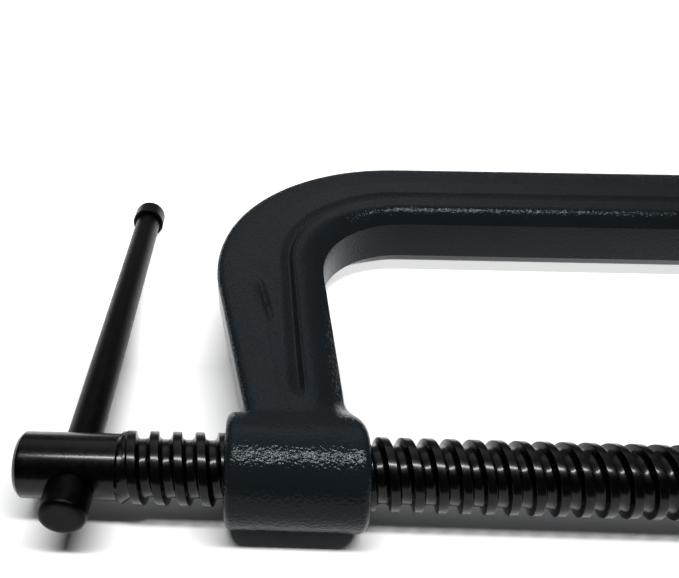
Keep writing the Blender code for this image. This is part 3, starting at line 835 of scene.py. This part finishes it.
class CLAMP_OT_forged_frame(bpy.types.Operator):
    """Build the forged frame with its threaded boss and its anvil"""

    bl_idname = "clamp.forged_frame"
    bl_label = "Forged frame"

    def execute(self, context):
        sizes, screw = context.scene.clamp_frame, context.scene.clamp_screw
        start = origin(sizes)
        spacing = HIGH[0] - LOW[0] - 2 * sizes.overhang
        boss_radius = (HIGH[2] - LOW[2]) / 2
        throat = HIGH[1] - AXIS_Y - sizes.spine_width
        anvil_face = ANVIL_X_WORLD - start[0]
        wide = screw.diameter / 2 + screw.clearance * 2 + 1 * MM  # radius of the countersinks
        edges = stations(sizes, spacing, throat)
        obj = forged_c(sizes, edges, spacing, boss_radius)
        press_lap(obj, sizes)
        join_barrels(obj, sizes, spacing, boss_radius, anvil_face)
        soften_joints(obj, sizes, edges, spacing, boss_radius, anvil_face)
        tap_boss(obj, sizes, screw, wide)
        roughen(obj, sizes, wide, anvil_face)
        write_points(obj, read_points(obj) + start)
        finish_piece(obj, "frame", slate_enamel(context.scene.clamp_finish), "frame")
        return {"FINISHED"}


# --- Screw ------------------------------------------------
class CLAMP_OT_screw(bpy.types.Operator):
    """Build the screw with its drilled head and the ball at its tip"""

    bl_idname = "clamp.screw"
    bl_label = "Screw"

    def execute(self, context):
        scene = context.scene
        sizes, start = scene.clamp_screw, origin(scene.clamp_frame)
        sides = sizes.sides
        head_low = HEAD_X_WORLD - start[0]
        shoulder = -sizes.exposed
        ball_x = BALL_X_WORLD - start[0]
        ball_r = sizes.ball / 2
        crest_r, head_r = sizes.diameter / 2, sizes.head / 2
        pad_back = ball_x - (PAD_LOW[0] - start[0])
        tilt = math.radians(JOINTS["pad_tilt"]["range_deg"][1])
        room = 0.6 * MM  # between the thread's end and the pad's collar when it tilts
        thread_end = ball_x - pad_back - scene.clamp_pad.collar / 2 * math.sin(tilt) - room
        lead = sizes.depth + 0.2 * MM  # how far the thread's end is chamfered
        cone = 0.75  # how fast the crests rise from the head

        def envelope(x, r):
            """The grooves deepen past the head, and a cone takes the crests down at either end."""
            r = crest_r - (crest_r - r) * eased((x - shoulder) / sizes.run_out)
            r = np.minimum(r, head_r + (x - shoulder) * cone)
            return np.minimum(r, crest_r - lead + (thread_end - x))

        profile = thread_profile(sizes, PITCH)
        rows = thread_rows(profile, PITCH, sizes.phase, shoulder, thread_end)
        grid = helix_grid(rows, PITCH, sides, shoulder, thread_end, head_r, crest_r - lead, envelope)
        points = [grid.reshape(-1, 3)]
        faces = helix_faces(len(rows), sides, len(profile))
        edge = sizes.head_edge
        head = rounded(
            [(head_low, 0.4 * MM), (head_low, head_r - edge), (head_low + edge, head_r), (shoulder, head_r)],
            [0, 0.35 * MM, 0.35 * MM, 0],
        )
        meets = math.asin(sizes.neck / sizes.ball)
        turn = np.linspace(math.pi - meets, POLE, 40)
        ball = np.stack([ball_x + ball_r * np.cos(turn), ball_r * np.sin(turn)], axis=-1)
        tip = rounded(
            [(thread_end, crest_r - lead), (thread_end, sizes.neck / 2), tuple(ball[0])],
            [0, 0.8 * MM, 0],
        )
        for chain in (spaced(head, 0.7 * MM), np.concatenate([tip[:-1], ball])):
            before = sum(len(p) for p in points)
            part = lathe(chain, sides)
            points.append(part.reshape(-1, 3))
            faces += [[before + k for k in face] for face in grid_faces(len(chain), sides)]
        flat = np.concatenate(points)
        count = len(flat)
        head_ring = len(grid.reshape(-1, 3)) + np.arange(sides)
        tip_ring = count - sides + np.arange(sides)
        flat = np.vstack([flat, (head_low, 0, 0), (ball_x + ball_r, 0, 0)])
        faces += fan(head_ring, count) + fan(tip_ring, count + 1)
        obj = make_object("threaded_screw", flat, faces)
        clean(obj)
        cut = head_r + 4 * MM
        hole_r = sizes.hole / 2
        bit = np.array([(-cut, 0), (-cut, hole_r), (cut, hole_r), (cut, 0)])
        place = Matrix.Translation((BAR_X_WORLD - start[0], 0, 0)) @ along_bar().to_4x4()
        combine(obj, "DIFFERENCE", *closed_tube(lathe(spaced(bit, 1 * MM), 96)[1:-1]), place)
        write_points(obj, read_points(obj) + start)
        finish = scene.clamp_finish
        worn = finish.oxide_worn
        mat = black_oxide("oiled_black_oxide_screw", finish.oxide, worn, 0.28, (1, 0, 0), 0.035)
        oil = mat.node_tree.nodes["Principled BSDF"].inputs
        oil["Coat Weight"].default_value = 0.36
        oil["Coat Roughness"].default_value = 0.16
        finish_piece(obj, "screw", mat, "screw_spindle")
        return {"FINISHED"}


# --- Handle -----------------------------------------------
def along_bar():
    """Turns the X axis along the bar, from the near cap to the far one."""
    x = BAR_AXIS / np.linalg.norm(BAR_AXIS)
    y = np.cross((1.0, 0.0, 0.0), x)
    y /= np.linalg.norm(y)
    return Matrix(np.stack([x, y, np.cross(x, y)], axis=1).tolist())


class CLAMP_OT_handle(bpy.types.Operator):
    """Build the sliding bar and its two caps"""

    bl_idname = "clamp.handle"
    bl_label = "Handle"

    def execute(self, context):
        scene = context.scene
        sizes, finish = scene.clamp_handle, scene.clamp_finish
        near, far = -sizes.near, sizes.reach - sizes.cap_length
        bar_r, cap_r, spigot_r = sizes.bar / 2, sizes.cap / 2, sizes.spigot / 2
        place = Matrix.Translation((BAR_X_WORLD, AXIS_Y, AXIS_Z)) @ along_bar().to_4x4()
        end, fit = sizes.spigot_length, sizes.fit
        tiny, turned, sharp = 0.3 * MM, 0.35 * MM, 0.1 * MM
        bar = rounded(
            [
                (near - end, tiny),
                (near - end, spigot_r),
                (near + fit, spigot_r),
                (near + fit, bar_r),
                (far - fit, bar_r),
                (far - fit, spigot_r),
                (far + end, spigot_r),
                (far + end, tiny),
            ],
            [0, turned, sharp, turned, turned, sharp, turned, 0],
        )
        rod = make_object("handle_rod", *closed_tube(lathe(spaced(bar, 2.5 * MM), 72)))
        floor, bore_r = end + fit, spigot_r + fit
        cap = rounded(
            [
                (floor, tiny),
                (floor, bore_r),
                (0, bore_r),
                (0, cap_r),
                (sizes.cap_length, cap_r),
                (sizes.cap_length, tiny),
            ],
            [0, 0.2 * MM, 0.2 * MM, 0.55 * MM, sizes.cap_round * 1.3, 0],
            steps=9,
        )
        worn = finish.oxide_worn
        oxide = black_oxide("dull_black_oxide_bar", finish.oxide_bar, worn, 0.42, (0, 0, 1), 0.02)
        capped = black_oxide("oiled_black_oxide_cap", finish.oxide, worn, 0.36, (0, 1, 0), 0.02)
        made = [(rod, "black_oxide_bar", oxide, "handle_bar")]
        for name, x, way in (("near", near, -1), ("far", far, 1)):
            chain = spaced(cap, 0.5 * MM) * (way, 1) + (x, 0)
            obj = make_object(f"{name}_cap", *closed_tube(lathe(chain, 96)))
            made.append((obj, "black_oxide_cap", capped, f"handle_cap_{name}"))
        for obj, slot, mat, node in made:
            obj.data.transform(place)
            clean(obj)
            finish_piece(obj, "handle", mat, node)
        return {"FINISHED"}


# --- Swivel pad -------------------------------------------
class CLAMP_OT_swivel_pad(bpy.types.Operator):
    """Build the swivel pad and the split ring that holds it on the ball"""

    bl_idname = "clamp.swivel_pad"
    bl_label = "Swivel pad"

    def execute(self, context):
        scene = context.scene
        sizes, finish = scene.clamp_pad, scene.clamp_finish
        centre = np.array((BALL_X_WORLD, AXIS_Y, AXIS_Z))
        face, back = PAD_HIGH[0] - BALL_X_WORLD, BALL_X_WORLD - PAD_LOW[0]
        pad_r, collar_r = (PAD_HIGH[2] - PAD_LOW[2]) / 2, sizes.collar / 2
        bore_r, groove_r = sizes.socket / 2, sizes.groove / 2
        front, rear = sizes.groove_front, back - sizes.lip
        edge, sharp = sizes.edge, 0.1 * MM
        turn = np.linspace(math.pi / 2, POLE, 24)[1:]
        outside = rounded(
            [
                (face, 0.3 * MM),
                (face, pad_r),
                (face - sizes.rim, pad_r),
                (face - sizes.rim - sizes.cone, collar_r),
                (-back, collar_r),
                (-back, bore_r),
                (-rear, bore_r),
                (-rear, groove_r),
                (-front, groove_r),
                (-front, bore_r),
                (0, bore_r),
            ],
            [0, edge, edge, 1.2 * MM, edge, 0.3 * MM, sharp, sharp, sharp, sharp, 0],
        )
        socket = np.stack([bore_r * np.cos(turn), bore_r * np.sin(turn)], axis=-1)
        chain = np.concatenate([spaced(outside, 0.8 * MM), socket])
        pad = make_object("pad_body", *closed_tube(lathe(chain, 120)))
        ring_low, ring_high = RING_LOW[0] - BALL_X_WORLD, RING_HIGH[0] - BALL_X_WORLD
        ring_out, ring_in = (RING_HIGH[2] - RING_LOW[2]) / 2, sizes.ring_inner / 2
        first, last = (ring_low, ring_in), (ring_high, ring_in)
        closed = [last, first, (ring_low, ring_out), (ring_high, ring_out), last, first]
        loop = rounded(closed, [0, *[0.2 * MM] * 4, 0], steps=4)[1:-1]
        a = math.pi / 2 + sizes.ring_gap / 2 + (TAU - sizes.ring_gap) * np.linspace(0, 1, 120)[:, None]
        ring = make_object("split_ring", *closed_tube(around(loop[:, 0], loop[:, 1], a)))
        worn = finish.oxide_worn
        steel = black_oxide("turned_black_oxide_pad", finish.oxide, worn, 0.38, (1, 0, 0), 0.03)
        spring = black_oxide("drawn_spring_steel", finish.spring, worn, 0.32, (1, 0, 0), 0.01)
        for obj, body, slot, mat, node in (
            (pad, "pad", "black_oxide_pad", steel, "swivel_pad"),
            (ring, "screw_carrier", "spring_steel_ring", spring, "pad_retaining_ring"),
        ):
            write_points(obj, read_points(obj) + centre)
            clean(obj)
            finish_piece(obj, body, mat, node)
        return {"FINISHED"}


# --- Stage ------------------------------------------------
def add_camera(scene, sizes):
    data = bpy.data.cameras.new("camera")
    data.sensor_width = 36.0
    data.lens = sizes.lens
    data.shift_x = sizes.shift
    camera = bpy.data.objects.new("camera", data)
    scene.collection.objects.link(camera)
    camera.location = sizes.camera
    camera.rotation_euler = (math.pi / 2 - sizes.pitch, 0, sizes.yaw)
    scene.camera = camera


def add_softbox(scene, sizes):
    """A long rectangular lamp overhead, along the screw."""
    data = bpy.data.lights.new("overhead_softbox", "AREA")
    data.shape = "RECTANGLE"
    data.size, data.size_y = sizes.softbox_length, sizes.softbox_width
    data.energy = sizes.overhead
    lamp = bpy.data.objects.new("overhead_softbox", data)
    scene.collection.objects.link(lamp)
    lamp.location = sizes.softbox
    away = Vector(sizes.softbox) - Vector(sizes.softbox_aim)
    lamp.rotation_euler = away.to_track_quat("Z", "Y").to_euler()


def add_floor(sizes, finish):
    """A plain pale floor. Its far part glows by its own emission, painted light that washes out the shadow
    the spine would cast on it.
    """
    side = np.linspace(-0.5, 0.5, 9) * sizes.floor_size
    x, y = np.meshgrid(side, side, indexing="ij")
    flat = np.stack([x, y, np.full_like(x, -0.05 * MM)], axis=-1)
    floor = make_object("studio_floor", flat.reshape(-1, 3), grid_faces(9, 9, wrap=False))
    mat, tree, shader, place = new_material("matt_white_floor", finish.floor, 0.0, 0.7)
    shader.inputs["Specular IOR Level"].default_value = 0.2
    # Painted light: the floor's emission rises along Y from none at floor_dark to floor_glow at floor_lit,
    # which hides the spine's shadow
    y = add(tree, "ShaderNodeSeparateXYZ", {"Vector": place}).outputs["Y"]
    band = {"Value": y, "From Min": sizes.floor_dark, "From Max": sizes.floor_lit, "To Max": sizes.floor_glow}
    lit = add(tree, "ShaderNodeMapRange", band)
    tree.links.new(lit.outputs["Result"], shader.inputs["Emission Strength"])
    shader.inputs["Emission Color"].default_value = finish.floor
    floor.data.materials.append(mat)


def add_room(scene, sizes):
    """The room's glow, by direction: its far wall glows, most of all straight ahead and high up.

    Three shares from 0 to 1, for how far, how straight ahead and how high a direction points, are
    multiplied, and run from the near side's brightness to the far side's.
    """
    world = bpy.data.worlds.new("studio")
    scene.world = world
    world.use_nodes = True
    tree = world.node_tree
    background = tree.nodes["Background"]
    way = add(tree, "ShaderNodeTexCoord").outputs["Generated"]
    split = add(tree, "ShaderNodeSeparateXYZ", {"Vector": way}).outputs
    aside = add(tree, "ShaderNodeMath", {0: split["X"]}, operation="ABSOLUTE").outputs[0]
    share = 1.0
    for source, start, full, least in (
        (split["Y"], 0.05, 0.6, 0.0),
        (aside, 0.55, 0.1, 0.25),
        (split["Z"], 0.45, 0.62, 0.12),
    ):
        band = {"Value": source, "From Min": start, "From Max": full, "To Min": least}
        part = add(tree, "ShaderNodeMapRange", band).outputs["Result"]
        share = add(tree, "ShaderNodeMath", {0: share, 1: part}, operation="MULTIPLY").outputs[0]
    band = {"Value": share, "To Min": sizes.near_glow, "To Max": sizes.far_glow}
    glow = add(tree, "ShaderNodeMapRange", band).outputs["Result"]
    tree.links.new(glow, background.inputs["Strength"])
    background.inputs["Color"].default_value = linear("#fafcff")


class CLAMP_OT_stage(bpy.types.Operator):
    """Set up the camera, the pale floor and the soft studio light"""

    bl_idname = "clamp.stage"
    bl_label = "Stage"

    def execute(self, context):
        scene = context.scene
        sizes, finish = scene.clamp_stage, scene.clamp_finish
        add_camera(scene, sizes)
        add_floor(sizes, finish)
        add_softbox(scene, sizes)
        add_room(scene, sizes)
        scene.view_settings.view_transform = "Standard"
        scene.view_settings.look = "None"
        return {"FINISHED"}


# --- Panel and registration -------------------------------
OPERATORS = (
    CLAMP_OT_stage,
    CLAMP_OT_forged_frame,
    CLAMP_OT_screw,
    CLAMP_OT_handle,
    CLAMP_OT_swivel_pad,
)


class CLAMP_PT_sidebar(bpy.types.Panel):
    """Lists each piece's button with its sizes"""

    bl_idname = "CLAMP_PT_sidebar"
    bl_label = "C-Clamp"
    bl_space_type = "VIEW_3D"
    bl_region_type = "UI"
    bl_category = "Clamp"

    def draw(self, context):
        for operator in OPERATORS:
            self.layout.operator(operator.bl_idname)
        for name, group in GROUPS.items():
            box = self.layout.box()
            box.label(text=group.__name__)
            for prop in group.__annotations__:
                box.prop(getattr(context.scene, name), prop)


def register():
    for cls in (*GROUPS.values(), *OPERATORS, CLAMP_PT_sidebar):
        bpy.utils.register_class(cls)
    for name, group in GROUPS.items():
        setattr(bpy.types.Scene, name, PointerProperty(type=group))


def unregister():
    for name in GROUPS:
        delattr(bpy.types.Scene, name)
    for cls in reversed((*GROUPS.values(), *OPERATORS, CLAMP_PT_sidebar)):
        bpy.utils.unregister_class(cls)


def main():
    register()
    for operator in OPERATORS:
        group, name = operator.bl_idname.split(".")
        getattr(getattr(bpy.ops, group), name)()


if __name__ == "__main__":
    main()
